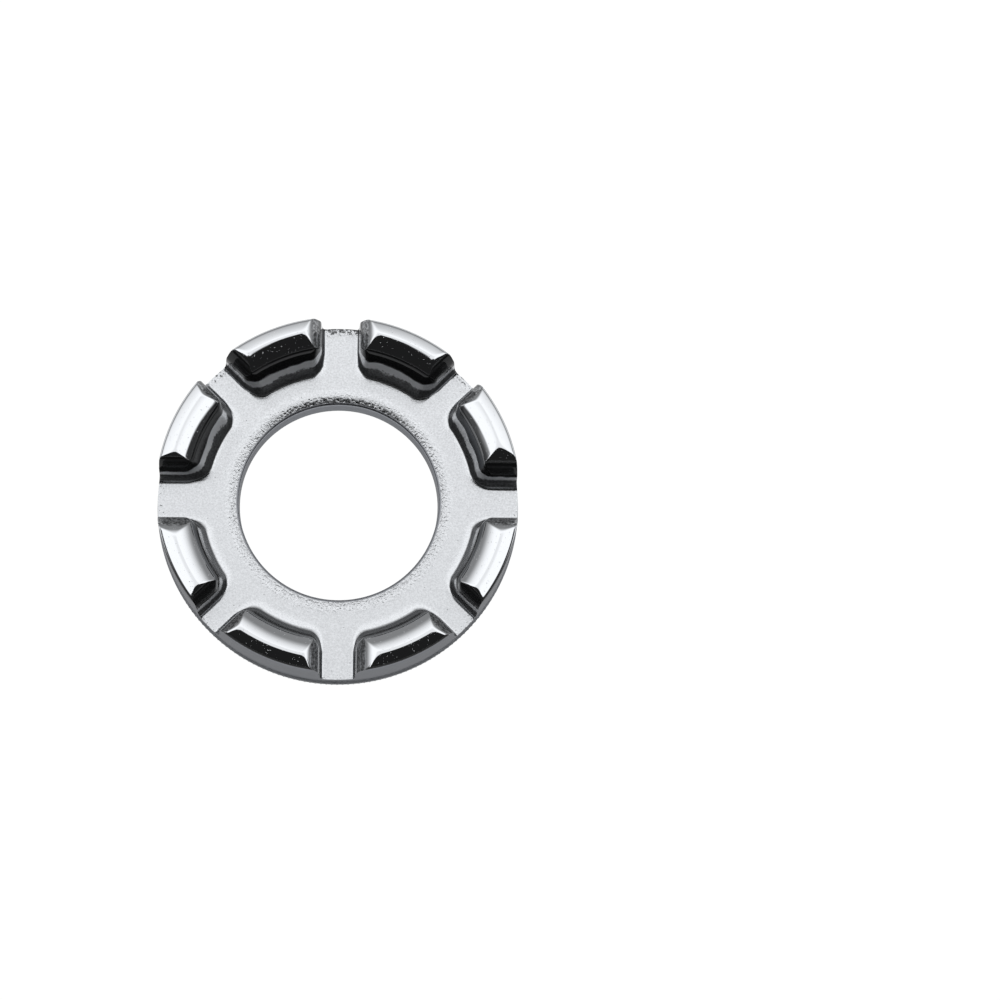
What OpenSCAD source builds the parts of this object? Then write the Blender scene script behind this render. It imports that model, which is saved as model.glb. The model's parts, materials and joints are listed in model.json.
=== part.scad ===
// Eight-way spoke wrench. One plated casting: a flat ring that carries eight
// lugs, with a slot of its own nipple size between each two of them.
// The numbered face lies on z = 0 and the lugs stand up along +Z.

/* [Ring] */
// Outside diameter
outer_d = 40; // [38:0.5:46]
// Diameter of the centre hole
bore_d = 22; // [18:0.2:24]
// Thickness of the ring between the lugs
plate_t = 3.6; // [3:0.1:5]
// Height of the knurled band at the rim, from the numbered face
band_h = 1.6; // [1.2:0.1:2.4]
// How far the knurled band stands out from the cast wall above it
band_proud = 0.2; // [0.1:0.05:0.4]
// Width of the bevel between the numbered face and the rim
rim_bevel_w = 0.5; // [0.2:0.05:0.8]
// Height of the bevel between the numbered face and the rim
rim_bevel_h = 0.35; // [0.2:0.05:0.8]
// Width of the countersink round the hole, on the numbered face
countersink_w = 0.8; // [0.2:0.1:1]
// Depth of the countersink
countersink_h = 0.9; // [0.3:0.1:1.5]
// Radius of the rounded edge of the hole, on the lug side
bore_edge_r = 0.3; // [0.1:0.05:0.5]

/* [Lugs] */
// Height of the lugs' outer wall above the ring
lug_wall_h = 5.1; // [4:0.1:6]
// Rise of the ridge above the top edge of the outer wall
crown_rise = 0.6; // [0.3:0.1:1.2]
// Distance from the rim in to the ridge
ridge_inset = 2; // [1.2:0.1:2.4]
// How far the outer wall leans in over its height
wall_lean = 0.25; // [0.05:0.05:0.4]
// Slope of the lugs' inner side next to the ridge, in degrees
inner_slope = 27; // [20:1:40]
// Width of that slope, seen from above
inner_slope_w = 1.7; // [1.2:0.1:2.4]
// Radius of the shoulder between that slope and the inner wall
shoulder_r = 0.7; // [0.4:0.1:1.2]
// Slope of the inner wall, in degrees
inner_wall_slope = 85; // [80:1:88]
// Radius of the concave fillet at the foot of the inner wall
foot_r = 1.2; // [0.6:0.1:1.6]
// Radius of the lugs' inner corners, seen from above
corner_r = 1.2; // [0.6:0.1:1.6]

/* [Slots] */
// Slot width for a 10 gauge nipple
slot_w_10 = 5; // [4.7:0.05:5.4]
// Slot width for an 11 gauge nipple
slot_w_11 = 4.5; // [4.3:0.05:4.8]
// Slot width for a 12 gauge nipple
slot_w_12 = 4.1; // [3.9:0.05:4.4]
// Slot width for a 13 gauge nipple
slot_w_13 = 3.8; // [3.6:0.05:4]
// Slot width for a 14 gauge nipple
slot_w_14 = 3.5; // [3.4:0.05:3.7]
// Slot width for a 15 gauge nipple
slot_w_15 = 3.3; // [3.1:0.05:3.4]
// Height of the straight slot walls above the ring
slot_wall_h = 2.3; // [1.6:0.1:3.2]
// Draft of the slot walls, in degrees
slot_draft = 2; // [0.5:0.5:4]
// Width of the rounding on each side of a slot's mouth, at the ridge
mouth_w = 2.1; // [1.6:0.1:2.6]
// Radius of the fillets along both sides of a slot floor
floor_r = 0.5; // [0.2:0.05:0.8]

/* [Hidden] */

// Sides of a full turned circle
turn_sides = 180;
// Steps in each rounded stretch of an outline
arc_steps = 6;
// Steps in the rounding of a mouth
mouth_steps = 6;
// How far a cutter runs past what it cuts
overrun = 1;

// Gauges of the slots, clockwise from +Y when the lugs face the viewer
slot_gauges = [12, 15, 11, 14, 13, 15, 10, 14];
slot_pitch = 360 / len(slot_gauges);

outer_r = outer_d / 2;
bore_r = bore_d / 2;
cast_r = outer_r - band_proud;
total_h = plate_t + lug_wall_h + crown_rise;
ridge_r = outer_r - ridge_inset;

// The inner side of a lug falls from the ridge in a straight slope, turns over a
// rounded shoulder into a steep wall, and meets the ring in a concave fillet.
shoulder_top_r = ridge_r - inner_slope_w;
shoulder_top_z = total_h - inner_slope_w * tan(inner_slope);
shoulder_w = shoulder_r * (sin(inner_wall_slope) - sin(inner_slope));
shoulder_h = shoulder_r * (cos(inner_slope) - cos(inner_wall_slope));
fillet_w = foot_r * sin(inner_wall_slope);
fillet_h = foot_r * (1 - cos(inner_wall_slope));
inner_wall_h = shoulder_top_z - shoulder_h - plate_t - fillet_h;
fillet_top_r = shoulder_top_r - shoulder_w - inner_wall_h / tan(inner_wall_slope);
lug_foot_r = fillet_top_r - fillet_w;

function slot_width(gauge) =
    gauge == 10 ? slot_w_10 :
    gauge == 11 ? slot_w_11 :
    gauge == 12 ? slot_w_12 :
    gauge == 13 ? slot_w_13 :
    gauge == 14 ? slot_w_14 : slot_w_15;

// Points on a circle from one angle to another
function arc(centre, radius, from, to, steps) =
    [for (i = [0 : steps])
        let (a = from + (to - from) * i / steps)
        centre + radius * [cos(a), sin(a)]];

// Half of the ring's section, as if the lugs ran all the way round
ring_section = concat(
    [[bore_r + countersink_w, 0],
     [outer_r - rim_bevel_w, 0],
     [outer_r, rim_bevel_h],
     [outer_r, band_h],
     [cast_r, band_h + band_proud],
     [cast_r, plate_t],
     [cast_r - wall_lean, plate_t + lug_wall_h],
     [ridge_r, total_h]],
    arc([shoulder_top_r + shoulder_r * sin(inner_slope),
         shoulder_top_z - shoulder_r * cos(inner_slope)],
        shoulder_r, 90 + inner_slope, 90 + inner_wall_slope, arc_steps),
    arc([lug_foot_r, plate_t + foot_r],
        foot_r, inner_wall_slope - 90, -90, arc_steps),
    arc([bore_r + bore_edge_r, plate_t - bore_edge_r],
        bore_edge_r, 90, 180, arc_steps),
    [[bore_r, countersink_h]]);

// Section of a slot: flat floor, fillets, drafted walls, and a mouth that is rounded
// like a quarter of an ellipse from the top of the wall to the ridge
module slot_section(width) {
    mouth_h = lug_wall_h + crown_rise - slot_wall_h;
    fillet_x = width / 2 + floor_r * tan(slot_draft) - floor_r / cos(slot_draft);
    wall_top_x = width / 2 + slot_wall_h * tan(slot_draft);
    right_side = concat(
        arc([fillet_x, floor_r], floor_r, -90, -slot_draft, arc_steps),
        [for (i = [0 : mouth_steps])
            let (a = 90 * i / mouth_steps)
            [wall_top_x + mouth_w * (1 - cos(a)), slot_wall_h + mouth_h * sin(a)]],
        [[wall_top_x + mouth_w + overrun, slot_wall_h + mouth_h + overrun]]);
    left_side = [for (i = [len(right_side) - 1 : -1 : 0])
        [-right_side[i].x, right_side[i].y]];
    polygon(concat(right_side, left_side));
}

// What is cut away outside the rounded corner of a lug, on the +Y side of a slot
module corner_cut(width) {
    corner_in_r = lug_foot_r + fillet_w;
    centre_y = width / 2 + corner_r;
    centre_x = sqrt(pow(corner_in_r + corner_r, 2) - pow(centre_y, 2));
    inward = 180 + atan2(centre_y, centre_x);
    translate([0, 0, plate_t])
        linear_extrude(height = total_h)
            polygon(concat(
                [[centre_x - corner_r - overrun, width / 2 - overrun],
                 [centre_x, width / 2 - overrun]],
                arc([centre_x, centre_y], corner_r, 270, inward, arc_steps),
                [(corner_in_r - overrun) * [cos(inward - 180), sin(inward - 180)]]));
}

module slot_cut(width) {
    translate([lug_foot_r - overrun, 0, plate_t])
        rotate([90, 0, 90])
            linear_extrude(height = outer_r - lug_foot_r + 2 * overrun)
                slot_section(width);
    corner_cut(width);
    mirror([0, 1, 0])
        corner_cut(width);
}

module wrench_ring() {
    color([0.8, 0.81, 0.83])
        difference() {
            rotate_extrude($fn = turn_sides)
                polygon(ring_section);
            for (i = [0 : len(slot_gauges) - 1])
                rotate([0, 0, 90 - i * slot_pitch])
                    slot_cut(slot_width(slot_gauges[i]));
        }
}

wrench_ring();
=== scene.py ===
"""Eight-way spoke wrench: the chrome plated casting, a white floor, studio light and the camera.

One closed mesh stands for the CAD node wrench_ring. Its lug side is a height over the plane of the
ring, sampled on grids that follow the lugs, and its numbered side is turned, with real grooves.
Lengths are in metres and angles in degrees.
"""

import json
import math

import bmesh
import bpy
import numpy as np
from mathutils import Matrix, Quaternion, Vector, geometry


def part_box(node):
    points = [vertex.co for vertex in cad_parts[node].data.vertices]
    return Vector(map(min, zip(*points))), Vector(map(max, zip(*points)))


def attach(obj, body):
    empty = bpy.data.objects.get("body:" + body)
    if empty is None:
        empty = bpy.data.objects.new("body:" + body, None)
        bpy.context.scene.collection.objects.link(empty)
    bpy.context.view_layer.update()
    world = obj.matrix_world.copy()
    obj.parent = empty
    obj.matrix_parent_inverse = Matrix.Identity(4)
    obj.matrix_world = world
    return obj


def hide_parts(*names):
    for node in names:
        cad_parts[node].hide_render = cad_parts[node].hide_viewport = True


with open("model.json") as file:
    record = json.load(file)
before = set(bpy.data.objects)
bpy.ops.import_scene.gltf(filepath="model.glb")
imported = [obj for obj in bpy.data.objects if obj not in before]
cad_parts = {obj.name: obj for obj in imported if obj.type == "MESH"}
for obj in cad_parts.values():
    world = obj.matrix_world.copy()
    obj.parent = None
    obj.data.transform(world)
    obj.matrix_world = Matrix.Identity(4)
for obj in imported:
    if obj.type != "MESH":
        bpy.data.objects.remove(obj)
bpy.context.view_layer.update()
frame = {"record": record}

MM = 0.001
NODE = "wrench_ring"

# Sizes of the CAD part, from the frame
low_corner, high_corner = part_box(NODE)
OUTER_R = (high_corner.x - low_corner.x) / 2
TOTAL_H = high_corner.z - low_corner.z
BORE_R = next(m["dims"]["r_mm"] for m in frame["record"]["mounts"] if m["kind"] == "bore") * MM

# Ring
PLATE_T = 3.6 * MM
RIM_BEVEL_W = 0.5 * MM
RIM_BEVEL_H = 0.35 * MM
BAND_H = 1.6 * MM
CAST_R = OUTER_R - 0.2 * MM
COUNTERSINK_W = 0.8 * MM
COUNTERSINK_H = 0.9 * MM
BORE_EDGE_R = 0.3 * MM
ROLL_W = 1.5 * MM          # the cast land rolls off towards the hole over this width
ROLL_DROP = 0.2 * MM

# Lugs
LUG_H = TOTAL_H - PLATE_T
WALL_LEAN = 0.25 * MM
WALL_H = 5.1 * MM
RIDGE_R = OUTER_R - 1.95 * MM
INNER_R = 15.85 * MM       # radius of the lugs' inner walls
CORNER_R = 1.2 * MM
MOUTH_FOOT_H = 2.3 * MM    # height above the ring where a slot's mouth begins to flare
HIP_BLEND = 0.06 * MM      # height over which the hip between crown and mouth is rounded
SLOT_SHOULDER = 0.5 * MM   # height over which the top of a steep wall is rounded
INNER_SHOULDER = 1.5 * MM

# Sections, each as millimetres along and slope there
SECTION_STEP = 0.005       # mm
# Foot and inner wall of a lug, by distance inside the wall's line
INNER_FOOT = [(-2.44, 0), (-2.2, 6), (-1.9, 8), (-1.5, 9), (-1.3, 13), (-1.22, 40), (-1, 54), (-0.7, 65),
              (-0.4, 73), (0, 82), (2, 84)]
INNER_FOOT_W = 1.22 * MM   # where its steep part begins
# Foot and wall of a slot
SLOT_FOOT = [(-0.76, 0), (-0.45, 6), (-0.38, 44), (-0.1, 70), (0, 87), (2, 88)]
SLOT_FOOT_W = 0.38 * MM
# Crown across the ridge, by distance outside it
CROWN = [(-2.6, 46), (-2.1, 42), (-1.8, 38), (-1.4, 31), (-1, 24), (-0.6, 18), (0, 12),
         (0.12, -8), (0.6, -13), (1, -15), (1.3, -17), (1.4, -42), (1.5, -66), (1.7, -76)]

# Slots, clockwise from +Y: gauge and width
SLOT_WIDTHS = {10: 5.0 * MM, 11: 4.5 * MM, 12: 4.1 * MM, 13: 3.8 * MM, 14: 3.5 * MM, 15: 3.3 * MM}
SLOT_GAUGES = [12, 15, 11, 14, 13, 15, 10, 14]
# Widths of each slot's two mouths at the ridge, the one further back first: they are ground by hand
MOUTH_WIDTHS = [(2.1, 2.2), (2.0, 2.0), (3.3, 2.6), (1.4, 1.9), (2.7, 1.8), (1.7, 1.7), (3.0, 1.75),
                (1.6, 2.1)]
# How far the feet of each slot's two walls reach out over the ring, in the same order
SLOT_FEET = [(0.26, 0.14), (0.43, 0.43), (0.8, 0.38), (0.46, 0.37), (0.2, 0.22), (0.53, 0.45),
             (0.38, 0.62), (0.6, 0.38)]
# How far the foot of each lug's inner wall reaches out
INNER_FEET = [1.43, 0.97, 0.8, 1.0, 1.03, 0.95, 1.37, 1.4]
FOOT_POWER = 1.7           # how fast the reach changes round a corner
SLOT_PITCH = 360 / len(SLOT_GAUGES)
HALF_PITCH = SLOT_PITCH / 2

# Knurled band and numbered face
KNURL_DEPTH = 0.12 * MM
KNURL_TEETH = 210
KNURL_FOOT = 0.06 * MM     # the band starts this far in from the rim, above the bevel
# Heights of the knurl's rows, and how much of its depth they have
KNURL_ROWS = [(RIM_BEVEL_H + 0.12 * MM, 1.0), (BAND_H - 0.15 * MM, 1.0), (BAND_H, 0.0)]
GROOVE_PITCH = 0.32 * MM
GROOVE_DEPTH = 0.035 * MM
# Rings of a groove: how far over the pitch, and how much of the depth
GROOVE_FORM = [(0, 0.0), (0.35, 1.0), (0.75, 0.35)]
# The face's first and last ring, and the strips beside the grooves, from the face's edges
FACE_FIRST = 0.1 * MM
FACE_LAST = 0.15 * MM
GROOVES_FIRST = 0.3 * MM
GROOVES_LAST = 0.2 * MM
NUMBER_DEPTH = 0.22 * MM
NUMBER_H = 3.4 * MM
NUMBER_R = 14.5 * MM
STROKE_W = 0.42 * MM
STROKE_SLOPE = 1.6         # depths that a stroke's flanks would fall over half its width

# Mesh counts
BORE_STEPS = 360
FACE_STEPS = 540
TOOTH_STEPS = 4
WALL_STEPS = 60            # along the foot of the outer wall, for each slot
HOLE_ROWS = 6
SLOT_COLUMNS = 27
RIDGE_COLUMNS = 16         # of which inside the ridge
CORNER_COLUMNS = 12
ARC_COLUMNS = 52
SKIRT_ROWS = 19
RIM_STEPS = 12             # across a slot's end
PLATE_RINGS = range(220, 245)   # points in each ring of the plate, from the hole out
WALL_COLUMNS = 40          # of free points on each sector of the outer wall
WALL_LEVELS = [0, 0.3, 0.6]     # their heights above the ring, as shares of WALL_H

# How the mesh is spaced
SKIRT = 2.0                # a lug's skirt is this much wider than the foot of its walls
SLOT_INSET = 0.32 * MM     # how far the skirt reaches into the lug, in a slot and inside
INNER_INSET = 0.5 * MM
SKIRT_SAMPLES = 700
BEND_WEIGHT = 0.9          # mm of length that a bend of one radian counts for in a skirt
BEND_MOST = 0.3            # the most that counts between two samples, in radians
INSIDE_POWER = 1.15        # how much the columns crowd towards the ridge, and towards the outer wall
OUTSIDE_POWER = 1.3
ARC_SHIFT = 0.07           # how far the inner wall's columns move towards the corners
OUTER_TRIES = 3            # tries at a slot column's end on the leaning outer wall
PLATE_GAP = 0.12 * MM      # least gap between free points and a loop, on the plate and the wall
WALL_GAP = 0.15 * MM
BEYOND = 1.4               # a lug's outline is carried on outwards by this factor
SHARP_ANGLE = 38
TINY = 1e-9
SLACK = 1e-6

# Blender's triangulation, kept inside its loops
INSIDE = 1

# Materials, by the index that a face gets
CAST, TURNED, WALL = range(3)

# Noise of the cast plating, as scale per metre and detail
SWELL = (420.0, 1.0)
FRAY = (3500.0, 2.0)
GRAIN = (5200.0, 3.0)
GRIT = (3800.0, 2.0)
PITS = (5200.0, 2.0)
LINES = (1.0, 3.0)
LINE_STRETCH = (500, 500, 9000)    # the lines lie level round the lugs
# Depths of its relief
GRAIN_DEPTH = 0.008 * MM
GRIT_DEPTH = 0.13 * MM
LINE_DEPTH = 0.0012 * MM
SWELL_DEPTH = 0.01 * MM
PIT_DEPTH = 0.008 * MM

# Zones of the cast plating. Each pair is where a zone begins and where it is whole
# By height: the lugs, the recess at their foot (painted shade), and the light streak above it (painted
# highlight)
LUG_ZONE = (PLATE_T + 0.15 * MM, PLATE_T + 0.24 * MM)
RECESS_ZONE = (PLATE_T + 1.3 * MM, PLATE_T + 1.0 * MM)
STREAK_FOOT = (PLATE_T + 1.3 * MM, PLATE_T + 1.9 * MM)
STREAK_TOP = (PLATE_T + 2.7 * MM, PLATE_T + 2.3 * MM)
WANDER = 1.4 * MM          # how far these heights wander up and down
FRAY_H = 0.9 * MM          # how far the streak's foot frays
# By radius: grit at the rim and round the hole, and painted shade round the hole
RIM_ZONE = (18.6 * MM, 19.7 * MM)
HOLE_ZONE = (13.0 * MM, 11.5 * MM)
HOLE_SHADE_ZONE = (12.2 * MM, 11.4 * MM)
# By place: how far round to the north, as Y over the radius
RIM_NORTH = (0.5, 1.0)
RIM_SHARES = (0.3, 1.0)    # how much grit the rim has at each end of that
HOLE_SHADE_NORTH = (0.6, 0.98)
# By the Z of a face's normal: steep, steep on a lug's inner side, and upright, for painted shade
STEEP = (0.46, 0.34)
STEEP_INNER = (0.78, 0.66)
UPRIGHT = (0.25, 0.12)
SHADED_STEEP = (0.6, 0.45)
SOUTH_STEEP = (0.82, 0.72)
# The mouths' mottles are their own random tone, made darker on steeper faces as painted shade
MOTTLE_STEEP = (0.15, 0.5)
MOTTLE_SHARES = (0.4, 1.0)     # how bright the mottles are at each end of that
# By its Y: northern and southern faces, for the painted highlight and painted shade
STREAK_NORTH = (0.2, 0.6)
STREAK_SHARES = (1.0, 0.2)     # how much of the streak shows at each end of that
SHADED_SOUTH = (0.15, -0.05)
AWAY_SOUTH = (-0.2, -0.5)
FLANK_BACK = (0.05, 0.3)
FLANK_FRONT = (0.8, 0.45)
FOOT_NORTH = (0.5, 0.75)
# By its share that points outward, and by the squares of that and of its Z, whose sum is low on the
# mouths of the slots
FACING_IN = (-0.3, -0.5)
MOUTH_ZONE = (0.65, 0.45)
MOUTH_NORTH = 0.35         # how much a northern lean widens the mouth's zone
# By its share that points south, with a part of its X on inner walls, for painted shade
SOUTH_ZONE = (0.15, 0.35)
SOUTH_EAST = 0.35
# By noise
PIT_ZONE = (0.69, 0.75)
SPECK_ZONE = (0.72, 0.8)
SPECK_MORE = 0.3           # how much the rim and the painted shade round the hole add to the specks' noise
GRAIN_ZONE = (0.3, 0.7)
HOLE_SHADE_GRIT = (0.3, 0.6)
MOTTLE_GRIT = (0.35, 0.65)

# Tones of the cast plating, as shares of white
PLATE_TONES = (0.6, 0.75)
# The tone of the dark specks, and of the painted shade north of the hole
SPECK_AND_SHADE_TONE = 0.12
LUG_TONE = 0.76
# Painted shade: the tones of steep, upright and shaded faces of the lugs
STEEP_SHADE_TONE = 0.24
UPRIGHT_SHADE_TONE = 0.1
SHADED_TONE = 0.14
MOTTLE_TONES = (0.14, 0.45)
# Painted shade on south-facing faces
SOUTH_TONE = 0.028
# Painted highlight: the tones of the light streak above the recess
STREAK_HIGHLIGHT_TONE = 0.98
STREAK_AWAY_HIGHLIGHT_TONE = 0.8
# Painted shade in the recess at the lugs' foot, less dark on faces turned north
FOOT_SHADE_TONES = (0.06, 0.16)
FLANK_TONE = 0.4
NORTH_FOOT_TONE = 0.28
CAST_TINT = (0.975, 1.0, 1.035)
# How dull the zones are, and how metallic the dullest plating is
RECESS_DULL = 0.5
MOUTH_DULL = 0.6
SOUTH_DULL = 0.5
DULL_METALLIC = 0.2
# Roughness of the ring, the recess and the polished lugs
PLATE_ROUGH = 0.2
RECESS_ROUGH = 0.4
LUG_ROUGH = 0.05
# A dark edge tint, painted shade that dims grazing reflections such as the glowing floor's
CAST_EDGE_TINT = 0.3

# Studio light, by the direction that it comes from. Pairs are as above, over X, Y or Z
DOME_ZONE = (0.1, 0.7)
DOME_TONES = (0.28, 1.3)
DOME_NORTH = 0.45          # how much higher the dome begins in the north
ZENITH = (0.9, 0.98)
ZENITH_DARK = 0.25
SIDE_REACH = (0.68, 0.76)
SIDE_BACK = (0.12, 0.04)
EAST = (-0.5, 0.5)
EAST_TONE = 0.04
WEST_REACH = (-0.72, -0.9)
WEST_TONES = (0.38, 0.06)
WEST_SOUTH = (-0.08, -0.2)
WEST_SOUTH_TONE = 0.08
DARK_SOUTH = (-0.09, -0.145)
DARK_SOUTH_TONE = 0.015
DARK_SOUTH_HALF = 0.3      # beyond this X the dark south draws back, by this much for each unit
DARK_SOUTH_BACK = 0.45
HORIZON = (0.05, 0.01)
HORIZON_TONE = 0.3

# Camera: the photograph's view, in its own pixels
PX = OUTER_R / 178.8       # the ring's radius in the photograph, in pixels
DISTANCE = 2012 * PX
TILT = 12.0
TURN = 0.55
LENS = 72.0
LOOK_RIGHT = 4.6           # the wrench lies left of the picture's middle
LOOK_UP = 0.223


def cos(a):
    return math.cos(math.radians(a))


def sin(a):
    return math.sin(math.radians(a))


def turned(points, angle):
    """points, an array of x and y, turned by angle about the centre."""
    c, s = cos(angle), sin(angle)
    return np.stack([points[..., 0] * c - points[..., 1] * s,
                     points[..., 0] * s + points[..., 1] * c], -1)


def lesser(a, b, blend):
    """The lesser of two heights, rounded where they are within blend of each other."""
    h = np.clip(1 - np.abs(a - b) / blend, 0, None)
    return np.minimum(a, b) - blend * h * h / 4


def outer_wall_r(z):
    """Radius of the outer wall at height z: the lugs lean in above the ring."""
    return CAST_R - WALL_LEAN * np.clip((z - PLATE_T) / WALL_H, 0, None)


# Lug side: heights over the plane

def plate_height(p):
    """The ring's cast top, which rolls off towards the hole."""
    r = np.hypot(p[..., 0], p[..., 1])
    roll = np.clip((BORE_R + BORE_EDGE_R + ROLL_W - r) / ROLL_W, 0, 1)
    return PLATE_T - ROLL_DROP * roll ** 3


def slot_distance(p, side, half_width):
    """How far p is inside the wall of the slot on one side (1 or -1) of a lug that lies along +X."""
    return sin(HALF_PITCH) * p[..., 0] - side * cos(HALF_PITCH) * p[..., 1] - half_width


def section(table):
    """Distances and heights of a section that is given by its slopes. It starts at height 0."""
    along = np.arange(table[0][0], table[-1][0], SECTION_STEP)
    rise = np.tan(np.radians(np.interp(along, *zip(*table)))) * SECTION_STEP
    return along * MM, np.concatenate([[0], np.cumsum((rise[1:] + rise[:-1]) / 2)]) * MM


inner_section = section(INNER_FOOT)
slot_section = section(SLOT_FOOT)
crown_section = section(CROWN)
crest = crown_section[1].max()


def foot_reach(share, slot_foot, inner_foot):
    """How far a wall's foot reaches out, between a slot's and the inner wall's. share says how much
    of the wall is the slot's."""
    return slot_foot + (inner_foot - slot_foot) * (1 - share) ** FOOT_POWER


def lug_height(p, half_a, half_b, mouths, feet):
    """Height of a lug above the plate. The lug lies along +X between slots of these half widths.
    mouths are the widths of its mouths, and feet the reach of its two slot feet and inner foot."""
    r = np.hypot(p[..., 0], p[..., 1])
    da = slot_distance(p, 1, half_a)
    db = slot_distance(p, -1, half_b)
    # Depth inside an outline with round inner corners, and how much of it is a slot's wall
    q_slot = CORNER_R - np.minimum(da, db)
    q_in = CORNER_R - (r - INNER_R)
    past = np.hypot(np.clip(q_slot, 0, None), np.clip(q_in, 0, None))
    d = CORNER_R - past - np.minimum(np.maximum(q_slot, q_in), 0)
    share = np.where(past > 0, (np.clip(q_slot, 0, None) / np.maximum(past, TINY)) ** 2, q_slot > q_in)
    side_foot = np.where(da < db, feet[0], feet[1])
    out = np.minimum(d, 0) / foot_reach(share, side_foot, feet[2])
    inside = np.maximum(d, 0)
    wall = ((1 - share) * np.interp(out * INNER_FOOT_W + inside, *inner_section)
            + share * np.interp(out * SLOT_FOOT_W + inside, *slot_section))
    crown = LUG_H - crest + np.interp(r - RIDGE_R, *crown_section)
    for distance, width in zip((da, db), mouths):
        x = distance / width
        round_top = np.sqrt(1 - (1 - np.clip(x, 0, 1)) ** 2)
        mouth = MOUTH_FOOT_H + (LUG_H - MOUTH_FOOT_H) * round_top
        # Past its width a mouth is out of the crown's way
        mouth = np.where(x > 1, LUG_H * 2, mouth)
        crown = lesser(crown, mouth, HIP_BLEND)
    shoulder = INNER_SHOULDER + share * (SLOT_SHOULDER - INNER_SHOULDER)
    return np.maximum(lesser(wall, crown, shoulder), 0)


class Mesh:
    """Points and faces that grids, strips and fills are added to, sharing points by number."""

    def __init__(self):
        self.points, self.faces, self.materials = [], [], []
        self.count = 0
        self.material = CAST

    def add(self, points):
        """Adds points and returns their numbers, in the same arrangement."""
        points = np.asarray(points, float)
        ids = np.arange(self.count, self.count + points[..., 0].size).reshape(points.shape[:-1])
        self.points.append(points.reshape(-1, 3))
        self.count += ids.size
        return ids

    def at(self, ids):
        return np.concatenate(self.points)[ids]

    def face(self, corners):
        self.faces.append(corners)
        self.materials.append(self.material)

    def grid(self, ids, closed=False):
        """Quads over an array of point numbers. closed joins the last column to the first."""
        if closed:
            ids = np.concatenate([ids, ids[:, :1]], 1)
        quads = np.stack([ids[:-1, :-1], ids[:-1, 1:], ids[1:, 1:], ids[1:, :-1]], -1)
        for quad in quads.reshape(-1, 4).tolist():
            self.face(quad)

    def stitch(self, lower, upper):
        """Triangles between two closed loops that run the same way round from about one angle."""
        a, b = self.at(lower), self.at(upper)
        # Angles are counted from just before the first point, so that it comes first
        start = math.atan2(a[0][1], a[0][0]) - SLACK
        angle_a = (np.arctan2(a[:, 1], a[:, 0]) - start) % (2 * math.pi)
        angle_b = (np.arctan2(b[:, 1], b[:, 0]) - start) % (2 * math.pi)
        upper, angle_b = np.roll(upper, -np.argmin(angle_b)), np.roll(angle_b, -np.argmin(angle_b))
        i = j = 0
        while i < len(lower) or j < len(upper):
            next_a = angle_a[i + 1] if i + 1 < len(lower) else 2 * math.pi
            next_b = angle_b[j + 1] if j + 1 < len(upper) else 2 * math.pi
            here_a, here_b = lower[i % len(lower)], upper[j % len(upper)]
            if j >= len(upper) or (i < len(lower) and next_a <= next_b):
                i += 1
                self.face([here_a, lower[i % len(lower)], here_b])
            else:
                j += 1
                self.face([here_a, upper[j % len(upper)], here_b])

    def fill(self, loops, extra, flat, lift, hole=()):
        """Fills inside loops of point numbers in the plane that flat maps to. extra are more plane
        points, which lift turns into points in space. hole is a loop that isn't filled."""
        border = np.concatenate(loops)
        plane = [Vector(v) for v in flat(self.at(border))]
        edges, first = [], 0
        for loop in loops:
            edges += [(first + k, first + (k + 1) % len(loop)) for k in range(len(loop))]
            first += len(loop)
        plane += [Vector(v) for v in extra]
        made = geometry.delaunay_2d_cdt(plane, edges, [], INSIDE, TINY)
        where = np.array([list(v) for v in made[0]])
        source = [origin[0] if origin else -1 for origin in made[3]]
        ids = np.empty(len(where), int)
        new = [k for k, s in enumerate(source) if s < 0 or s >= len(border)]
        ids[new] = self.add(lift(where[new])) if new else []
        for k, s in enumerate(source):
            if 0 <= s < len(border):
                ids[k] = border[s]
        empty = set(hole)
        for t in made[2]:
            corners = ids[list(t)].tolist()
            if len(set(corners)) == 3 and not empty.issuperset(corners):
                self.face(corners)


def lug_sides(half_a, half_b):
    """For the two sides of a lug along +X: the slot's direction, the way out of the lug into it,
    the corner's place along the slot, the corner's centre, and rays round the corner."""
    sides = []
    for side, half in ((1, half_a), (-1, half_b)):
        along = np.array([cos(HALF_PITCH), side * sin(HALF_PITCH)])
        out = np.array([-sin(HALF_PITCH), side * cos(HALF_PITCH)])
        reach = math.sqrt((INNER_R + CORNER_R) ** 2 - (half + CORNER_R) ** 2)
        centre = reach * along - (half + CORNER_R) * out
        start = math.atan2(out[1], out[0])
        end = math.atan2(-centre[1], -centre[0])
        turn = (end - start + math.pi) % (2 * math.pi) - math.pi
        angles = start + turn * np.linspace(0, 1, CORNER_COLUMNS + 1)
        rays = np.stack([np.cos(angles), np.sin(angles)], -1)
        sides.append((along, out, reach, centre, rays))
    return sides


def skirt_section(point_at, foot, inset, form):
    """Rows of a skirt column: offsets spaced evenly along the section's length, with more where it
    bends. point_at gives plane points at offsets into the lug, foot is how far the foot reaches out
    there and form what lug_height needs."""
    s = np.linspace(-SKIRT * foot, inset, SKIRT_SAMPLES)
    z = lug_height(point_at(s), *form)
    ds, dz = np.gradient(s), np.gradient(z)
    bend = np.abs(np.gradient(np.arctan2(dz, ds)))
    weight = np.hypot(ds, dz) / MM + BEND_WEIGHT * np.minimum(bend, BEND_MOST)
    run = np.concatenate([[0], np.cumsum((weight[1:] + weight[:-1]) / 2)])
    return np.interp(np.linspace(0, run[-1], SKIRT_ROWS), run, s)


def crowded(steps, power):
    """Shares from 0 to 1 in steps that are closer together towards 1."""
    return 1 - (1 - np.linspace(0, 1, steps + 1)) ** power


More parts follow.
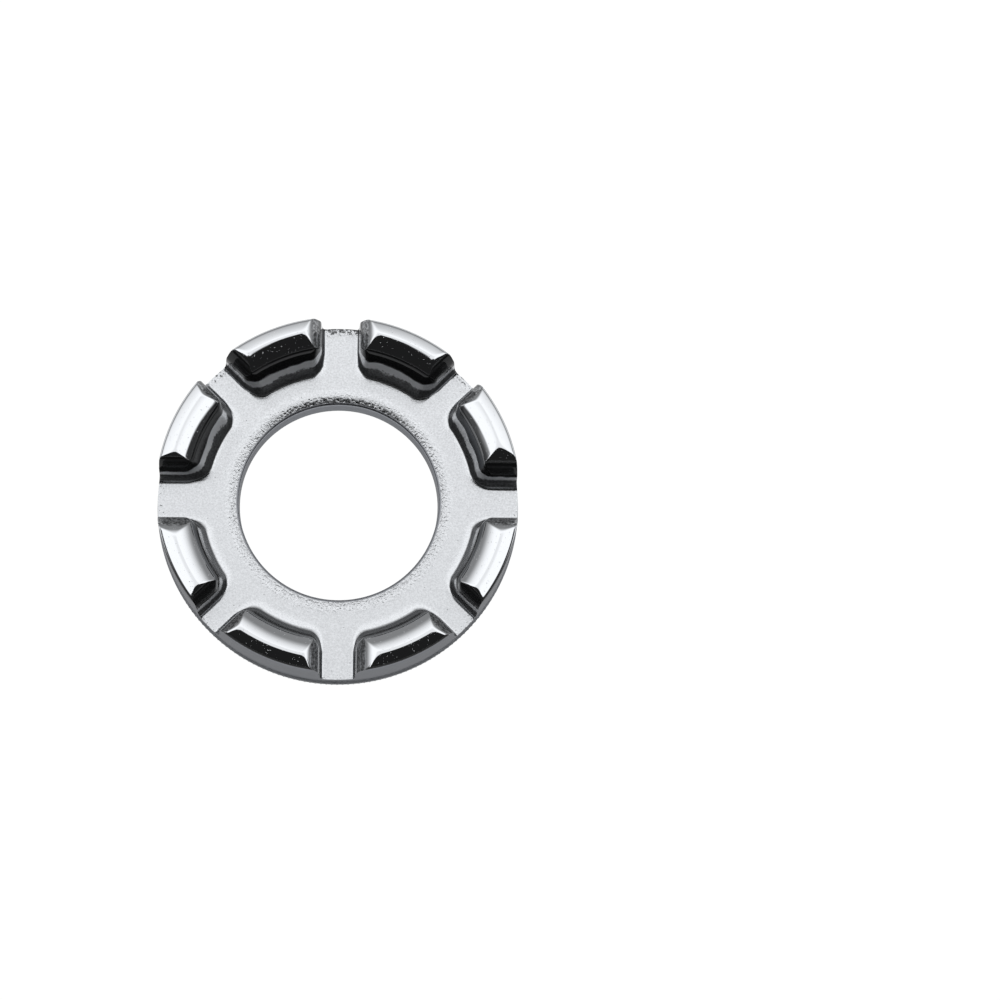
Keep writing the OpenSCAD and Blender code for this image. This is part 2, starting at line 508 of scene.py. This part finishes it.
def lug(mesh, form, angle):
    """Adds one lug of the form that lug_height takes. Returns its skirt's outer line and its top
    outline along the outer wall."""
    half_a, half_b, _, (foot_a, foot_b, inner_foot) = form
    side_a, side_b = lug_sides(half_a, half_b)

    def raised(p):
        z = plate_height(p) + lug_height(p, *form)
        return np.concatenate([turned(p, angle), z[..., None]], -1)

    def slot_point(side, half, share, s, end_r):
        along, out, reach = side[:3]
        depth = half + s
        end = np.sqrt(end_r ** 2 - depth ** 2)
        return (reach + share * (end - reach))[..., None] * along - depth[..., None] * out

    def slot_columns(side, half, foot):
        """Plane points of the slot wall's columns, from the corner out to the outer wall."""
        top_r = CAST_R - WALL_LEAN
        inset = np.array([SLOT_INSET])
        begin_r = np.hypot(*slot_point(side, half, 0.0, inset, np.array([top_r]))[0])
        ridge = (RIDGE_R - begin_r) / (top_r - begin_r)
        inner = ridge * crowded(RIDGE_COLUMNS, INSIDE_POWER)
        outer = ridge + (1 - ridge) * crowded(SLOT_COLUMNS - RIDGE_COLUMNS, OUTSIDE_POWER)
        found = []
        for share in np.concatenate([inner, outer[1:]])[1:]:
            def point_at(s, r=np.array([CAST_R])):
                return slot_point(side, half, share, s, r)

            s = skirt_section(point_at, foot, SLOT_INSET, form)
            p = point_at(s)
            for _ in range(OUTER_TRIES):
                z = plate_height(p) + lug_height(p, *form)
                p = point_at(s, outer_wall_r(z))
            found.append(p)
        return found

    def corner_columns(side, foot):
        """Plane points of the columns round a corner, from the slot to the inner wall."""
        centre, rays = side[3:]
        found = []
        for share, ray in zip(np.linspace(0, 1, len(rays)), rays):
            def point_at(s):
                return centre + (CORNER_R - s)[:, None] * ray

            inset = SLOT_INSET + share * share * (3 - 2 * share) * (INNER_INSET - SLOT_INSET)
            reach = foot_reach(cos(90 * share) ** 2, foot, inner_foot)
            found.append(point_at(skirt_section(point_at, reach, inset, form)))
        return found

    def arc_columns():
        """Plane points of the inner wall's columns, from one corner to the other."""
        first = math.atan2(side_a[3][1], side_a[3][0])
        last = math.atan2(side_b[3][1], side_b[3][0])
        share = np.linspace(0, 1, ARC_COLUMNS + 1)[1:-1]
        found = []
        for a in first + (last - first) * (share - ARC_SHIFT * np.sin(2 * math.pi * share)):
            ray = np.array([math.cos(a), math.sin(a)])

            def point_at(s):
                return (INNER_R + s)[:, None] * ray

            found.append(point_at(skirt_section(point_at, inner_foot, INNER_INSET, form)))
        return found

    columns = (slot_columns(side_a, half_a, foot_a)[::-1] + corner_columns(side_a, foot_a)
               + arc_columns() + corner_columns(side_b, foot_b)[::-1]
               + slot_columns(side_b, half_b, foot_b))
    skirt = mesh.add(raised(np.array(columns)))
    mesh.grid(skirt)

    # The crown fills the skirt's inner line, with rows at steady radii and the outer wall above
    top = np.array(columns)[:, -1]
    rows = SLOT_COLUMNS + CORNER_COLUMNS // 2
    left_r, left_a = polar(top[rows::-1])
    bottom_r, bottom_a = polar(top[rows:len(top) - rows])
    right_r, right_a = polar(top[len(top) - rows - 1:])
    across = (bottom_a - bottom_a[0]) / (bottom_a[-1] - bottom_a[0])
    up_left = (left_r - left_r[0]) / (left_r[-1] - left_r[0])
    up_right = (right_r - right_r[0]) / (right_r[-1] - right_r[0])
    up = up_left[:, None] * (1 - across) + up_right[:, None] * across
    top_r = left_r[-1] * (1 - across) + right_r[-1] * across
    r = bottom_r + up * (top_r - bottom_r)
    a = left_a[:, None] * (1 - across) + right_a[:, None] * across
    inner = np.stack([r * np.cos(a), r * np.sin(a)], -1)
    crown_ids = np.empty(r.shape, int)
    crown_ids[1:, 1:-1] = mesh.add(raised(inner[1:, 1:-1]))
    crown_ids[:, 0] = skirt[rows::-1, -1]
    crown_ids[0, :] = skirt[rows:len(top) - rows, -1]
    crown_ids[:, -1] = skirt[len(top) - rows - 1:, -1]
    mesh.grid(crown_ids)
    outline = np.concatenate([skirt[0, :-1], crown_ids[-1], skirt[-1, :-1][::-1]])
    return skirt[:, 0], outline


def polar(p):
    return np.hypot(p[..., 0], p[..., 1]), np.arctan2(p[..., 1], p[..., 0])


def on_circle(r, a):
    return np.stack([r * np.cos(a), r * np.sin(a)], -1)


def on_plate(p):
    return np.concatenate([p, plate_height(p)[:, None]], -1)


def round_steps(count):
    """Angles in radians of equal steps round the circle, from +Y."""
    return np.radians(90 + np.linspace(0, 360, count + 1)[:-1])


def build_lug_side(mesh):
    """All lugs and the cast plate between them. Returns the top outline of the outer wall, split at
    the slots' middles, and the ring of points round the hole."""
    edge_r = BORE_R + BORE_EDGE_R
    bore_ring = mesh.add(on_plate(on_circle(edge_r, round_steps(BORE_STEPS))))
    skirts, outlines = [], []
    for i, gauge in enumerate(SLOT_GAUGES):
        after = (i + 1) % len(SLOT_GAUGES)
        mouths = MOUTH_WIDTHS[i][1] * MM, MOUTH_WIDTHS[after][0] * MM
        halves = SLOT_WIDTHS[gauge] / 2, SLOT_WIDTHS[SLOT_GAUGES[after]] / 2
        feet = SLOT_FEET[i][1] * MM, SLOT_FEET[after][0] * MM, INNER_FEET[i] * MM
        form = *halves, mouths, feet
        skirt, outline = lug(mesh, form, 90 - SLOT_PITCH * (i + 0.5))
        skirts.append(skirt)
        outlines.append(outline)
    # Rim points across each slot's end, with one at the slot's middle
    rims = []
    for i in range(len(SLOT_GAUGES)):
        angle = 90 - SLOT_PITCH * i
        sides = turned(mesh.at([outlines[i - 1][-1], outlines[i][0]])[:, :2], -angle)
        before, behind = polar(sides)[1]
        a = math.radians(angle) + np.interp(range(1, RIM_STEPS), (0, RIM_STEPS // 2, RIM_STEPS),
                                            (before, 0, behind))
        rims.append(mesh.add(on_plate(on_circle(CAST_R, a))))
    outer_loop = []
    for rim, skirt in zip(rims, skirts):
        outer_loop += [rim, skirt]
    ring_radii = np.linspace(edge_r, CAST_R, len(PLATE_RINGS) + 2)[1:-1]
    rings = np.concatenate([on_circle(r, round_steps(n)) for r, n in zip(ring_radii, PLATE_RINGS)])
    taken = np.zeros(len(rings), bool)
    for skirt in skirts:
        outline = mesh.at(skirt)[:, :2]
        lug_area = np.concatenate([outline, outline[-1:] * BEYOND, outline[:1] * BEYOND])
        taken |= inside(rings, lug_area) | near(rings, outline, PLATE_GAP)
    outer_ring = np.concatenate(outer_loop)[::-1]
    mesh.fill([bore_ring, outer_ring], rings[~taken], lambda p: p[:, :2], on_plate,
              hole=bore_ring.tolist())
    middle = RIM_STEPS // 2 - 1
    sectors = [np.concatenate([rims[i][middle:], outlines[i], rims[(i + 1) % len(rims)][:middle + 1]])
               for i in range(len(rims))]
    return sectors, bore_ring


def inside(points, loop):
    """Which plane points are inside a loop."""
    a, b = loop, np.roll(loop, -1, 0)
    x, y = points[:, :1], points[:, 1:]
    crosses = (a[:, 1] > y) != (b[:, 1] > y)
    rise = np.where(crosses, b[:, 1] - a[:, 1], 1)
    at = (b[:, 0] - a[:, 0]) * (y - a[:, 1]) / rise + a[:, 0]
    return (crosses & (x < at)).sum(1) % 2 == 1


def near(points, outline, margin):
    """Which plane points are within margin of an outline's points."""
    gaps = np.hypot(points[:, None, 0] - outline[:, 0], points[:, None, 1] - outline[:, 1])
    return gaps.min(1) < margin


# Turned side: rings of points from the hole's upper edge, down and round the face to the knurl

def ring(mesh, r, z, steps):
    """Adds a ring of points at radius r and height z, which may change round the ring."""
    r, z = np.broadcast_to(r, steps), np.broadcast_to(z, steps)
    return mesh.add(np.concatenate([on_circle(r, round_steps(steps)), z[:, None]], -1))


def arc(cx, cy, rx, ry, first, last, steps=8):
    """Points of a stroke along part of an ellipse."""
    a = np.radians(np.linspace(first, last, steps + 1))
    return [(cx + rx * math.cos(t), cy + ry * math.sin(t)) for t in a]


# Strokes of the digits, in a cell 0.6 wide and 1 high
DIGITS = {
    "0": [arc(0.3, 0.5, 0.26, 0.46, 0, 360, 20)],
    "1": [[(0.12, 0.8), (0.3, 0.96), (0.3, 0.04)]],
    "2": [arc(0.3, 0.7, 0.24, 0.26, 170, -30) + [(0.06, 0.05), (0.56, 0.05)]],
    "3": [arc(0.28, 0.73, 0.22, 0.23, 150, -90) + arc(0.28, 0.27, 0.25, 0.24, 90, -150)],
    "4": [[(0.44, 0.04), (0.44, 0.96), (0.04, 0.32), (0.58, 0.32)]],
    "5": [[(0.52, 0.95), (0.14, 0.95), (0.1, 0.55)] + arc(0.28, 0.33, 0.25, 0.29, 110, -140)],
}
DIGIT_W = 0.6
DIGIT_STEP = 0.82


def number_cut(p):
    """Depth of the numbers' cut at points of the face, seen from below with +Y up."""
    depth = np.zeros(len(p))
    for i, gauge in enumerate(SLOT_GAUGES):
        # Seen from below, x runs the other way
        local = turned(p, SLOT_PITCH * i) * [-1, 1] - [0, NUMBER_R]
        close = np.abs(local).max(1) < NUMBER_H
        if not close.any():
            continue
        q = local[close] / NUMBER_H
        for k, digit in enumerate(str(gauge)):
            shift = np.array([(k - 1) * DIGIT_STEP + (DIGIT_STEP - DIGIT_W) / 2, -0.5])
            for stroke in DIGITS[digit]:
                for a, b in zip(stroke[:-1], stroke[1:]):
                    a, b = np.array(a) + shift, np.array(b) + shift
                    t = np.clip(((q - a) @ (b - a)) / ((b - a) @ (b - a)), 0, 1)
                    gap = np.hypot(*(q - a - t[:, None] * (b - a)).T) * NUMBER_H
                    cut = NUMBER_DEPTH * np.clip(STROKE_SLOPE * (1 - gap / (STROKE_W / 2)), 0, 1)
                    depth[close] = np.maximum(depth[close], cut)
    return depth


def build_turned_side(mesh, bore_ring):
    """The hole's wall, the countersink, the grooved and numbered face, the bevel and the knurl.
    Returns the ring of points above the knurled band."""
    mesh.material = WALL
    top = PLATE_T - ROLL_DROP
    rows = [bore_ring]
    for a in range(15, 91, 15):
        rows.append(ring(mesh, BORE_R + BORE_EDGE_R * (1 - sin(a)),
                         top - BORE_EDGE_R * (1 - cos(a)), BORE_STEPS))
    for z in np.linspace(top - BORE_EDGE_R, COUNTERSINK_H, HOLE_ROWS + 1)[1:]:
        rows.append(ring(mesh, BORE_R, z, BORE_STEPS))
    mesh.grid(np.array(rows), closed=True)

    mesh.material = TURNED
    face_r0 = BORE_R + COUNTERSINK_W
    face_r1 = OUTER_R - RIM_BEVEL_W
    countersink = ring(mesh, face_r0, 0, BORE_STEPS)
    mesh.grid(np.array([rows[-1], countersink]), closed=True)
    radii, lifts = [face_r0 + FACE_FIRST], [0.0]
    first = face_r0 + GROOVES_FIRST
    grooves = round((face_r1 - GROOVES_LAST - first) / GROOVE_PITCH)
    pitch = (face_r1 - GROOVES_LAST - first) / grooves
    for g in range(grooves):
        for share, lift in GROOVE_FORM:
            radii.append(first + pitch * (g + share))
            lifts.append(lift * GROOVE_DEPTH)
    radii.append(face_r1 - FACE_LAST)
    lifts.append(0.0)
    face = []
    for r, lift in zip(radii, lifts):
        cut = number_cut(on_circle(r, round_steps(FACE_STEPS)))
        face.append(ring(mesh, r, np.maximum(lift, cut), FACE_STEPS))
    face.append(ring(mesh, face_r1, 0, FACE_STEPS))
    mesh.grid(np.array(face), closed=True)
    mesh.stitch(face[0], countersink)

    mesh.material = WALL
    knurl_steps = KNURL_TEETH * TOOTH_STEPS
    wave = (1 - np.cos(np.linspace(0, 2 * math.pi * KNURL_TEETH, knurl_steps + 1)[:-1])) / 2
    knurl = [ring(mesh, OUTER_R - KNURL_FOOT, RIM_BEVEL_H, knurl_steps)]
    for z, cut in KNURL_ROWS:
        knurl.append(ring(mesh, OUTER_R - KNURL_DEPTH * cut * wave, z, knurl_steps))
    mesh.grid(np.array(knurl), closed=True)
    mesh.stitch(knurl[0], face[-1])
    wall_low = ring(mesh, CAST_R, BAND_H + OUTER_R - CAST_R, len(SLOT_GAUGES) * WALL_STEPS)
    mesh.stitch(wall_low, knurl[-1])
    return wall_low


def build_outer_wall(mesh, sectors, wall_low):
    """The outer wall between the knurl and the top outline, filled sector by sector as unrolled."""
    mesh.material = WALL
    per = len(wall_low) // len(sectors)
    half = CAST_R * math.radians(HALF_PITCH)
    across = np.linspace(-half, half, WALL_COLUMNS + 1)[1:-1]
    levels = PLATE_T + WALL_H * np.array(WALL_LEVELS)
    for i, sector in enumerate(sectors):
        middle = math.radians(90 - SLOT_PITCH * (i + 0.5))
        last = (len(wall_low) - per * i) % len(wall_low)
        low = [wall_low[(last - k) % len(wall_low)] for k in range(per + 1)]

        def flat(p):
            a = (np.arctan2(p[:, 1], p[:, 0]) - middle + math.pi) % (2 * math.pi) - math.pi
            return np.stack([a * CAST_R, p[:, 2]], -1)

        def lift(w):
            p = on_circle(outer_wall_r(w[:, 1]), w[:, 0] / CAST_R + middle)
            return np.concatenate([p, w[:, 1:]], -1)

        loop = np.concatenate([sector, np.array(low)[::-1]])
        outline = flat(mesh.at(loop))
        extra = np.concatenate([np.stack([across, np.full(len(across), z)], -1) for z in levels])
        free = inside(extra, outline) & ~near(extra, outline, WALL_GAP)
        mesh.fill([loop], extra[free], flat, lift)


class Nodes:
    """Short calls for the node tree of one material or world."""

    def __init__(self, tree):
        self.tree = tree

    def put(self, target, value):
        if isinstance(value, bpy.types.NodeSocket):
            self.tree.links.new(value, target)
        else:
            target.default_value = value

    def new(self, kind, **settings):
        node = self.tree.nodes.new("ShaderNode" + kind)
        for name, value in settings.items():
            setattr(node, name, value)
        return node

    def math(self, operation, *values):
        node = self.new("Math", operation=operation)
        for socket, value in zip(node.inputs, values):
            self.put(socket, value)
        return node.outputs[0]

    def add(self, a, b):
        return self.math("ADD", a, b)

    def less(self, a, b):
        return self.math("SUBTRACT", a, b)

    def times(self, a, b):
        return self.math("MULTIPLY", a, b)

    def over(self, a, b):
        return self.math("DIVIDE", a, b)

    def most(self, a, b):
        return self.math("MAXIMUM", a, b)

    def ramp(self, value, low, high, to_low=0.0, to_high=1.0, smooth=True):
        """to_low where the value is low and to_high where it is high."""
        node = self.new("MapRange", interpolation_type="SMOOTHSTEP" if smooth else "LINEAR")
        self.put(node.inputs["Value"], value)
        ends = {"From Min": low, "From Max": high, "To Min": to_low, "To Max": to_high}
        for name, number in ends.items():
            self.put(node.inputs[name], number)
        return node.outputs["Result"]

    def mix(self, share, low, high):
        """low where share is 0 and high where it is 1."""
        node = self.new("Mix")
        for socket, value in zip(node.inputs, (share, None, low, high)):
            if value is not None:
                self.put(socket, value)
        return node.outputs[0]

    def parts(self, vector):
        node = self.new("SeparateXYZ")
        self.put(node.inputs[0], vector)
        return node.outputs

    def noise(self, vector, scale, detail):
        node = self.new("TexNoise")
        self.put(node.inputs["Vector"], vector)
        self.put(node.inputs["Scale"], scale)
        self.put(node.inputs["Detail"], detail)
        return node.outputs["Fac"]

    def grey(self, value, tint):
        """A colour from a brightness and a constant tint."""
        node = self.new("VectorMath", operation="SCALE")
        node.inputs[0].default_value = tint
        self.put(node.inputs["Scale"], value)
        return node.outputs[0]

    def bump(self, height):
        node = self.new("Bump")
        node.inputs["Distance"].default_value = 1.0
        self.put(node.inputs["Height"], height)
        return node.outputs["Normal"]


def metal(name, edge_tint):
    """A new metal material, with its node helper, shader and object coordinates. edge_tint is the
    grey of its reflection at grazing angles."""
    material = bpy.data.materials.new(name)
    material.use_nodes = True
    nodes = Nodes(material.node_tree)
    shader = material.node_tree.nodes["Principled BSDF"]
    shader.inputs["Metallic"].default_value = 1.0
    shader.inputs["Specular Tint"].default_value = (edge_tint, edge_tint, edge_tint, 1)
    place = nodes.new("TexCoord").outputs["Object"]
    return material, nodes, shader, place


def cast_chrome():
    """Plated casting. The ring is satin and grainy, the lugs are polished, and the plating is dull in
    the recess at the foot of the lugs. Painted shade darkens that recess, the lugs' steep and southern
    sides and the ring north of the hole, and a light streak above the recess is a painted highlight."""
    material, nodes, shader, place = metal("cast_chrome", CAST_EDGE_TINT)
    x, y, z = nodes.parts(place)
    lean_x, lean_y, lean_z = nodes.parts(nodes.new("TexCoord").outputs["Normal"])
    r = nodes.math("SQRT", nodes.add(nodes.times(x, x), nodes.times(y, y)))
    outward = nodes.over(nodes.add(nodes.times(x, lean_x), nodes.times(y, lean_y)), r)
    north = nodes.over(y, r)

    # Zones by height and radius
    swell = nodes.noise(place, *SWELL)
    height = nodes.add(z, nodes.times(nodes.less(swell, 0.5), WANDER))
    raised = nodes.ramp(z, *LUG_ZONE)
    recess = nodes.ramp(height, *RECESS_ZONE)
    # The light streak above the recess is a painted highlight
    frayed = nodes.add(height, nodes.times(nodes.noise(place, *FRAY), FRAY_H))
    streak = nodes.times(nodes.ramp(frayed, *STREAK_FOOT), nodes.ramp(height, *STREAK_TOP))
    streak = nodes.times(streak, nodes.ramp(lean_y, *STREAK_NORTH, *STREAK_SHARES))
    polish = nodes.times(raised, nodes.less(1.0, recess))
    matt = nodes.less(1.0, polish)
    edge = nodes.times(nodes.ramp(r, *RIM_ZONE), nodes.ramp(north, *RIM_NORTH, *RIM_SHARES))
    rough = nodes.most(nodes.ramp(r, *HOLE_ZONE), edge)

    # Relief: satin with grit on the ring, and level marks with pits on the lugs
    grain = nodes.noise(place, *GRAIN)
    grit = nodes.noise(place, *GRIT)
    level = nodes.new("Mapping")
    level.inputs["Scale"].default_value = LINE_STRETCH
    nodes.put(level.inputs["Vector"], place)
    lines = nodes.noise(level.outputs[0], *LINES)
    pits = nodes.ramp(nodes.noise(place, *PITS), *PIT_ZONE)
    satin = nodes.add(nodes.times(grain, GRAIN_DEPTH),
                      nodes.times(nodes.times(grit, rough), GRIT_DEPTH))
    marks = nodes.add(nodes.times(lines, LINE_DEPTH), nodes.times(swell, SWELL_DEPTH))
    marks = nodes.less(marks, nodes.times(pits, PIT_DEPTH))
    relief = nodes.add(nodes.times(satin, matt), nodes.times(marks, polish))
    nodes.put(shader.inputs["Normal"], nodes.bump(relief))

    # Brightness of the ring, with dark specks, and painted shade north of the hole
    plate = nodes.ramp(grain, *GRAIN_ZONE, *PLATE_TONES, smooth=False)
    # Painted shade on the roll-off north of the hole, speckled by the grit, with more specks there
    hole_shade = nodes.times(nodes.ramp(r, *HOLE_SHADE_ZONE), nodes.ramp(north, *HOLE_SHADE_NORTH))
    specks = nodes.add(grit, nodes.times(nodes.most(edge, hole_shade), SPECK_MORE))
    plate = nodes.mix(nodes.ramp(specks, *SPECK_ZONE), plate, SPECK_AND_SHADE_TONE)
    plate = nodes.mix(nodes.times(hole_shade, nodes.ramp(grit, *HOLE_SHADE_GRIT)), plate, SPECK_AND_SHADE_TONE)

    # Brightness of the lugs, by how steep they are: steep, upright and shaded faces get painted shade
    inner = nodes.ramp(outward, *FACING_IN)
    steep_inner = nodes.ramp(lean_z, *STEEP_INNER)
    steep = nodes.mix(inner, nodes.ramp(lean_z, *STEEP), steep_inner)
    upper = nodes.mix(steep, LUG_TONE, STEEP_SHADE_TONE)
    upper = nodes.mix(nodes.ramp(lean_z, *UPRIGHT), upper, UPRIGHT_SHADE_TONE)
    shaded = nodes.times(nodes.ramp(lean_y, *SHADED_SOUTH), nodes.ramp(lean_z, *SHADED_STEEP))
    upper = nodes.mix(nodes.times(shaded, inner), upper, SHADED_TONE)

    # Mottled mouths of the slots, darker where steeper as painted shade, then southern faces and the
    # streak
    across = nodes.add(nodes.times(lean_z, lean_z), nodes.times(outward, outward))
    across = nodes.less(across, nodes.times(nodes.most(lean_y, 0.0), MOUTH_NORTH))
    mouth = nodes.ramp(across, *MOUTH_ZONE)
    mottled = nodes.times(nodes.ramp(grit, *MOTTLE_GRIT, *MOTTLE_TONES),
                          nodes.ramp(lean_z, *MOTTLE_STEEP, *MOTTLE_SHARES))
    upper = nodes.mix(mouth, upper, mottled)
    # Painted shade on southern faces
    south = nodes.less(nodes.times(nodes.times(lean_x, inner), SOUTH_EAST), lean_y)
    south = nodes.times(nodes.ramp(south, *SOUTH_ZONE), nodes.ramp(lean_z, *SOUTH_STEEP))
    upper = nodes.mix(south, upper, SOUTH_TONE)
    # The light streak is a painted highlight
    away = nodes.ramp(lean_y, *AWAY_SOUTH)
    upper = nodes.mix(streak, upper, nodes.mix(away, STREAK_HIGHLIGHT_TONE, STREAK_AWAY_HIGHLIGHT_TONE))

    # Brightness of the recess: painted shade, dark and grainy, less dark on faces turned north
    foot = nodes.ramp(grain, *GRAIN_ZONE, *FOOT_SHADE_TONES, smooth=False)
    flank = nodes.times(nodes.ramp(lean_y, *FLANK_BACK), nodes.ramp(lean_y, *FLANK_FRONT))
    foot = nodes.mix(flank, foot, FLANK_TONE)
    foot = nodes.mix(nodes.ramp(lean_y, *FOOT_NORTH), foot, NORTH_FOOT_TONE)
    bright = nodes.mix(raised, plate, nodes.mix(recess, upper, foot))
    nodes.put(shader.inputs["Base Color"], nodes.grey(bright, CAST_TINT))

    dull = nodes.most(streak, nodes.times(recess, RECESS_DULL))
    dull = nodes.most(dull, nodes.times(mouth, MOUTH_DULL))
    dull = nodes.most(dull, nodes.times(south, SOUTH_DULL))
    nodes.put(shader.inputs["Metallic"], nodes.mix(nodes.times(raised, dull), 1.0, DULL_METALLIC))
    matt_rough = nodes.mix(raised, PLATE_ROUGH, RECESS_ROUGH)
    nodes.put(shader.inputs["Roughness"], nodes.mix(polish, matt_rough, LUG_ROUGH))
    return material


def even_chrome(name, scale, depth, tones, tint, roughness, edge_tint):
    """Plating with an even, fine grain of this noise scale and depth. tones and roughness are for the
    grain's low and high parts."""
    material, nodes, shader, place = metal(name, edge_tint)
    grain = nodes.noise(place, scale, 3.0)
    nodes.put(shader.inputs["Normal"], nodes.bump(nodes.times(grain, depth)))
    nodes.put(shader.inputs["Base Color"], nodes.grey(nodes.ramp(grain, 0, 1, *tones), tint))
    nodes.put(shader.inputs["Roughness"], nodes.ramp(grain, 0, 1, *roughness))
    return material


def turned_chrome():
    """Bright plating over the turned face."""
    return even_chrome("turned_chrome", scale=4000.0, depth=0.004 * MM, tones=(0.6, 0.7),
                       tint=(0.98, 0.99, 1.01), roughness=(0.1, 0.18), edge_tint=1.0)


def wall_chrome():
    """Dull plating on the steep walls round the casting, in the hole and on the knurl. Its dark tones
    and dark edge tint are painted shade.
    """
    return even_chrome("wall_chrome", scale=3000.0, depth=0.006 * MM, tones=(0.28, 0.36),
                       tint=(0.955, 0.99, 1.06), roughness=(0.3, 0.4), edge_tint=0.35)


def make_wrench():
    mesh = Mesh()
    sectors, bore_ring = build_lug_side(mesh)
    wall_low = build_turned_side(mesh, bore_ring)
    build_outer_wall(mesh, sectors, wall_low)
    data = bpy.data.meshes.new("wrench_casting")
    data.from_pydata(np.concatenate(mesh.points).tolist(), [], mesh.faces)
    for material in (cast_chrome(), turned_chrome(), wall_chrome()):
        data.materials.append(material)
    data.polygons.foreach_set("material_index", mesh.materials)
    whole = bmesh.new()
    whole.from_mesh(data)
    bmesh.ops.recalc_face_normals(whole, faces=whole.faces)
    whole.to_mesh(data)
    whole.free()
    data.shade_smooth()
    data.set_sharp_from_angle(angle=math.radians(SHARP_ANGLE))
    piece = bpy.data.objects.new("wrench_casting", data)
    bpy.context.scene.collection.objects.link(piece)
    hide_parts(NODE)
    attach(piece, "root")


def make_floor():
    """A floor that glows white, as the photograph's ground is."""
    data = bpy.data.meshes.new("floor")
    half = 3.0
    data.from_pydata([(-half, -half, 0), (half, -half, 0), (half, half, 0), (-half, half, 0)], [],
                     [(0, 1, 2, 3)])
    floor = bpy.data.objects.new("floor", data)
    bpy.context.scene.collection.objects.link(floor)
    material = bpy.data.materials.new("floor")
    material.use_nodes = True
    shader = material.node_tree.nodes["Principled BSDF"]
    shader.inputs["Base Color"].default_value = (0.05, 0.05, 0.05, 1)
    shader.inputs["Roughness"].default_value = 1.0
    shader.inputs["Emission Color"].default_value = (1, 1, 1, 1)
    shader.inputs["Emission Strength"].default_value = 1.0
    data.materials.append(material)


def make_world():
    """A bright dome that darkens towards the horizon and the north, with dark sides and a dark south,
    where the camera stands."""
    world = bpy.data.worlds.new("studio")
    bpy.context.scene.world = world
    world.use_nodes = True
    nodes = Nodes(world.node_tree)
    background = world.node_tree.nodes["Background"]
    x, y, z = nodes.parts(nodes.new("TexCoord").outputs["Generated"])
    north = nodes.times(nodes.most(y, 0.0), DOME_NORTH)
    dome = nodes.ramp(nodes.less(z, north), *DOME_ZONE, *DOME_TONES)
    dome = nodes.less(dome, nodes.ramp(z, *ZENITH, 0.0, ZENITH_DARK))
    aside = nodes.math("ABSOLUTE", x)
    west_tone = nodes.mix(nodes.ramp(y, *WEST_SOUTH), nodes.ramp(x, *WEST_REACH, *WEST_TONES),
                          WEST_SOUTH_TONE)
    side = nodes.times(nodes.ramp(aside, *SIDE_REACH), nodes.ramp(y, *SIDE_BACK))
    light = nodes.mix(side, dome, nodes.mix(nodes.ramp(x, *EAST), west_tone, EAST_TONE))
    south = nodes.most(nodes.less(aside, DARK_SOUTH_HALF), 0.0)
    south = nodes.add(y, nodes.times(south, DARK_SOUTH_BACK))
    light = nodes.mix(nodes.ramp(south, *DARK_SOUTH), light, DARK_SOUTH_TONE)
    light = nodes.mix(nodes.ramp(z, *HORIZON), light, HORIZON_TONE)
    nodes.put(background.inputs["Color"], light)
    background.inputs["Strength"].default_value = 1.0


def make_camera():
    data = bpy.data.cameras.new("camera")
    data.lens = LENS
    data.sensor_width = 36
    data.clip_start = 0.005
    data.clip_end = 20
    camera = bpy.data.objects.new("camera", data)
    bpy.context.scene.collection.objects.link(camera)
    back = Vector((sin(TURN) * sin(TILT), -cos(TURN) * sin(TILT), cos(TILT)))
    camera.location = back * DISTANCE
    camera.rotation_mode = "QUATERNION"
    camera.rotation_quaternion = ((-back).to_track_quat("-Z", "Y")
                                  @ Quaternion((0, 1, 0), -math.radians(LOOK_RIGHT))
                                  @ Quaternion((1, 0, 0), math.radians(LOOK_UP)))
    bpy.context.scene.camera = camera


make_wrench()
make_floor()
make_world()
make_camera()
bpy.context.scene.view_settings.view_transform = "Standard"
